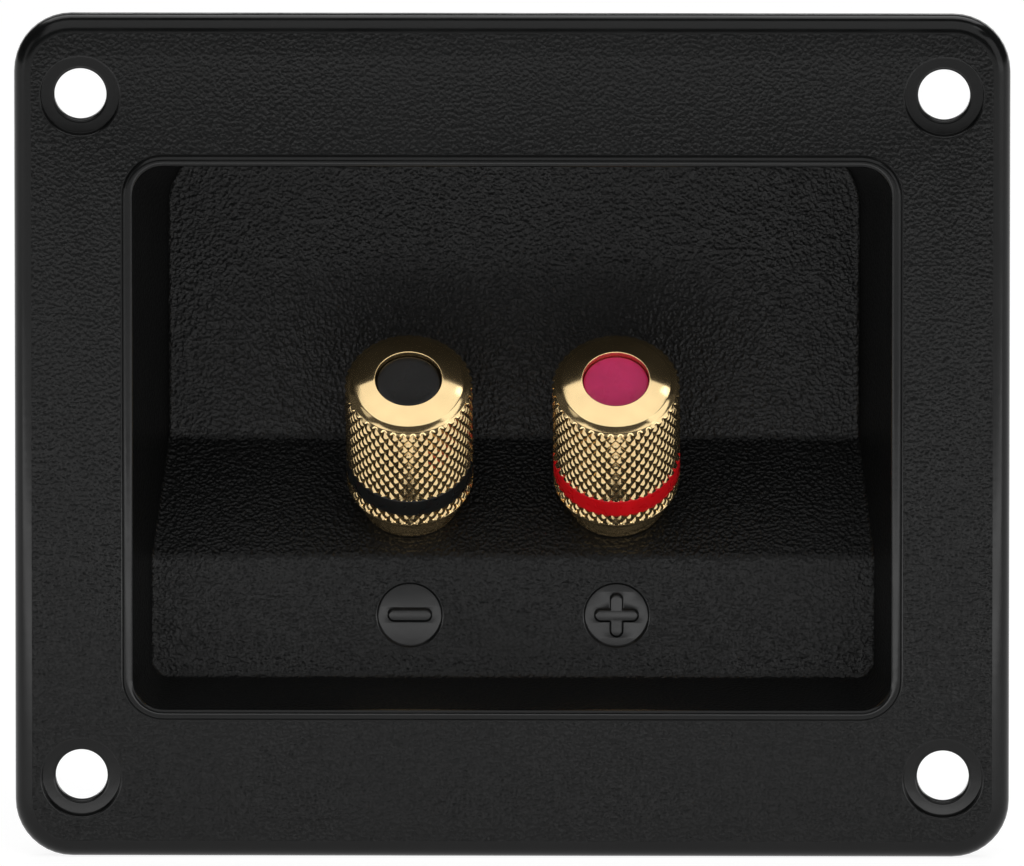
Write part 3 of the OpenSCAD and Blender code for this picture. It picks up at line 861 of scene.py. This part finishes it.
class TERMINAL_OT_knobs(bpy.types.Operator):
    """Builds the two diamond-knurled clamp knobs"""

    bl_idname = "terminal.knobs"
    bl_label = "Clamp knobs"

    def execute(self, context):
        posts = context.scene.terminal_posts
        each_post(posts, "clamp_knob", knob_rows(posts), posts.diamonds * KNURL_STEPS,
                  turned_metal("knob_gold", posts.gold, 0.09, 0.15, TOOL_LINES),
                  SHARP_KNOB)
        return {"FINISHED"}


class TERMINAL_OT_plastics(bpy.types.Operator):
    """Builds the colour rings and the safety plugs"""

    bl_idname = "terminal.plastics"
    bl_label = "Rings and plugs"

    def execute(self, context):
        posts = context.scene.terminal_posts
        each_post(posts, "colour_ring", ring_rows(posts), 160,
                  {"negative": moulded_tint("ring_black", posts.black, 0.3, 0.3),
                   "positive": moulded_tint("ring_red", posts.red, 0.3, 0.3)})
        each_post(posts, "safety_plug", plug_rows(), 96,
                  {"negative": moulded_tint("plug_smoke", posts.smoke, 0.3, 0.25),
                   "positive": moulded_tint("plug_pink", posts.pink, 0.3, 0.25)})
        return {"FINISHED"}


class TERMINAL_OT_hardware(bpy.types.Operator):
    """Finishes the washers, nuts and solder lugs behind the shelf"""

    bl_idname = "terminal.hardware"
    bl_label = "Rear hardware"

    def execute(self, context):
        posts = context.scene.terminal_posts
        nickel = turned_metal("nickel_plate", posts.nickel, 0.24, 0.38, 5000.0)
        tin = turned_metal("tinned_brass", posts.tin, 0.36, 0.50, 3000.0)
        for word in SIDES:
            for part in ("flat_washer", "lock_washer", "clamp_nut", "lug_nut"):
                refinish(f"{word}_{part}", nickel)
            refinish(f"{word}_solder_lug", tin)
        return {"FINISHED"}


# ---- Camera, floor and lights ----

HORIZON = (0.03, 0.09)  # sines of the heights where the white horizon starts and ends to fade


# Each softbox: its middle, what it aims at, its width and its height, in metres
SOFTBOXES = {
    "overhead": ((0.0, -0.50, 0.76), (0.0, -0.02, 0.0), 1.2, 0.95),
    "right": ((0.66, -0.42, 0.25), (0.0, 0.0, 0.0), 0.5, 0.6),
    "left": ((-0.70, -0.45, 0.15), (0.0, 0.0, 0.0), 0.25, 0.6),
    "spark": ((0.50, -0.13, 0.74), (0.0, 0.0, 0.0), 0.16, 0.16),
    "back": ((0.0, 0.55, 0.75), (0.0, 0.0, 0.0), 1.0, 0.6),
}
GLOW, GLOW_SHARE = 1.25, 0.7  # the paper's glow to rays that show it, and its share


def softbox(name, centre, aim, width, height, power):
    """A plain rectangular light that the camera doesn't see."""
    lamp = bpy.data.lights.new(name, "AREA")
    lamp.shape, lamp.size, lamp.size_y, lamp.energy = "RECTANGLE", width, height, power
    light = bpy.data.objects.new(name, lamp)
    light.location = centre
    light.rotation_mode = "QUATERNION"
    light.rotation_quaternion = (Vector(aim) - Vector(centre)).to_track_quat("-Z", "Y")
    light.visible_camera = False
    bpy.context.scene.collection.objects.link(light)


class TERMINAL_OT_stage(bpy.types.Operator):
    """Sets the camera, the pale floor and the soft studio light"""

    bl_idname = "terminal.stage"
    bl_label = "Stage"

    def execute(self, context):
        scene, stage = context.scene, context.scene.terminal_stage
        scene.view_settings.view_transform = "Standard"
        cam = bpy.data.cameras.new("camera")
        cam.sensor_width = 36.0
        cam.lens = cam.sensor_width * stage.distance / stage.view_width
        cam.clip_start, cam.clip_end = 0.1, 50.0
        a, e = math.radians(stage.azimuth), math.radians(stage.elevation)
        back = Vector((math.sin(a) * math.cos(e), -math.cos(a) * math.cos(e), math.sin(e)))
        eye = bpy.data.objects.new("camera", cam)
        middle = Vector((0, -scene.terminal_cup.flange_t * MM, 0.0005))
        eye.location = middle + back * stage.distance
        eye.rotation_mode = "QUATERNION"
        eye.rotation_quaternion = (-back).to_track_quat("-Z", "Y")
        scene.collection.objects.link(eye)
        scene.camera = eye

        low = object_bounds()[0].z
        mesh = bpy.data.meshes.new("floor")
        reach = stage.paper / 2
        mesh.from_pydata([(-reach, -reach, low), (reach, -reach, low), (reach, reach, low),
                          (-reach, reach, low)], [], [(0, 1, 2, 3)])
        floor = add("floor", mesh)
        mesh.materials.append(self.floor_finish(stage.floor))
        floor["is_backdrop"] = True

        self.surroundings(scene, stage.ambient)
        for name, (centre, aim, width, height) in SOFTBOXES.items():
            softbox(name, centre, aim, width, height, getattr(stage, name))
        softbox("strip", (0.0, -0.10, low + 0.004), (0.0, 0.0, low + 0.02), 0.5, 0.03, stage.strip)
        return {"FINISHED"}

    @staticmethod
    def surroundings(scene, ambient):
        """A dim, even room with a white horizon, which every ray sees alike."""
        world = bpy.data.worlds.new("studio")
        world.use_nodes = True
        scene.world = world
        tree = world.node_tree
        room = tree.nodes["Background"]
        room.inputs["Color"].default_value = (1, 1, 1, 1)
        way = tree.nodes.new("ShaderNodeTexCoord")
        split = tree.nodes.new("ShaderNodeSeparateXYZ")
        fade = tree.nodes.new("ShaderNodeMapRange")
        fade.interpolation_type = "SMOOTHSTEP"
        for key, value in (("From Min", HORIZON[0]), ("From Max", HORIZON[1]),
                           ("To Min", 1.0), ("To Max", ambient)):
            fade.inputs[key].default_value = value
        tree.links.new(way.outputs["Generated"], split.inputs[0])
        tree.links.new(split.outputs["Z"], fade.inputs["Value"])
        tree.links.new(fade.outputs["Result"], room.inputs["Strength"])

    @staticmethod
    def floor_finish(colour):
        """Pale paper. The camera, metal and glass see it nearly white, with the shadow kept."""
        made, shader = material("floor_paper", colour, roughness=0.9)
        bump(made, shader, noise(made, place(made), 900.0), 0.05, 0.0001)
        tree = made.node_tree
        glow = put(made, "ShaderNodeEmission", Strength=GLOW)
        path = put(made, "ShaderNodeLightPath")
        seen = path.outputs["Is Camera Ray"]
        for kind in ("Is Glossy Ray", "Is Transmission Ray"):
            either = put(made, "ShaderNodeMath", operation="MAXIMUM")
            wire(made, seen, either.inputs[0])
            wire(made, path.outputs[kind], either.inputs[1])
            seen = either.outputs[0]
        share = put(made, "ShaderNodeMath", operation="MULTIPLY")
        wire(made, seen, share.inputs[0])
        share.inputs[1].default_value = GLOW_SHARE
        mix = put(made, "ShaderNodeMixShader")
        wire(made, share.outputs[0], mix.inputs[0])
        wire(made, shader.outputs[0], mix.inputs[1])
        wire(made, glow.outputs[0], mix.inputs[2])
        wire(made, mix.outputs[0], tree.nodes["Material Output"].inputs["Surface"])
        return made


class TERMINAL_PT_panel(bpy.types.Panel):
    """Lists the settings and the steps that build the terminal"""

    bl_idname = "TERMINAL_PT_panel"
    bl_label = "Terminal"
    bl_space_type = "VIEW_3D"
    bl_region_type = "UI"
    bl_category = "Terminal"

    def draw(self, context):
        for step in STEPS:
            self.layout.operator(step.bl_idname)
        for name in SETTINGS:
            box = self.layout.box()
            group = getattr(context.scene, name)
            for key in group.__annotations__:
                box.prop(group, key)


SETTINGS = {"terminal_cup": TERMINAL_PG_cup, "terminal_posts": TERMINAL_PG_posts,
            "terminal_stage": TERMINAL_PG_stage}
STEPS = (TERMINAL_OT_stage, TERMINAL_OT_cup, TERMINAL_OT_studs, TERMINAL_OT_knobs,
         TERMINAL_OT_plastics, TERMINAL_OT_hardware)
CLASSES = (*SETTINGS.values(), *STEPS, TERMINAL_PT_panel)


def register():
    for cls in CLASSES:
        bpy.utils.register_class(cls)
    for name, group in SETTINGS.items():
        setattr(bpy.types.Scene, name, PointerProperty(type=group))


def unregister():
    for name in SETTINGS:
        delattr(bpy.types.Scene, name)
    for cls in reversed(CLASSES):
        bpy.utils.unregister_class(cls)


def main():
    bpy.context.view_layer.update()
    register()
    bpy.ops.terminal.stage()
    bpy.ops.terminal.cup()
    bpy.ops.terminal.studs()
    bpy.ops.terminal.knobs()
    bpy.ops.terminal.plastics()
    bpy.ops.terminal.hardware()
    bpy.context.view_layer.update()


if __name__ == "__main__":
    main()
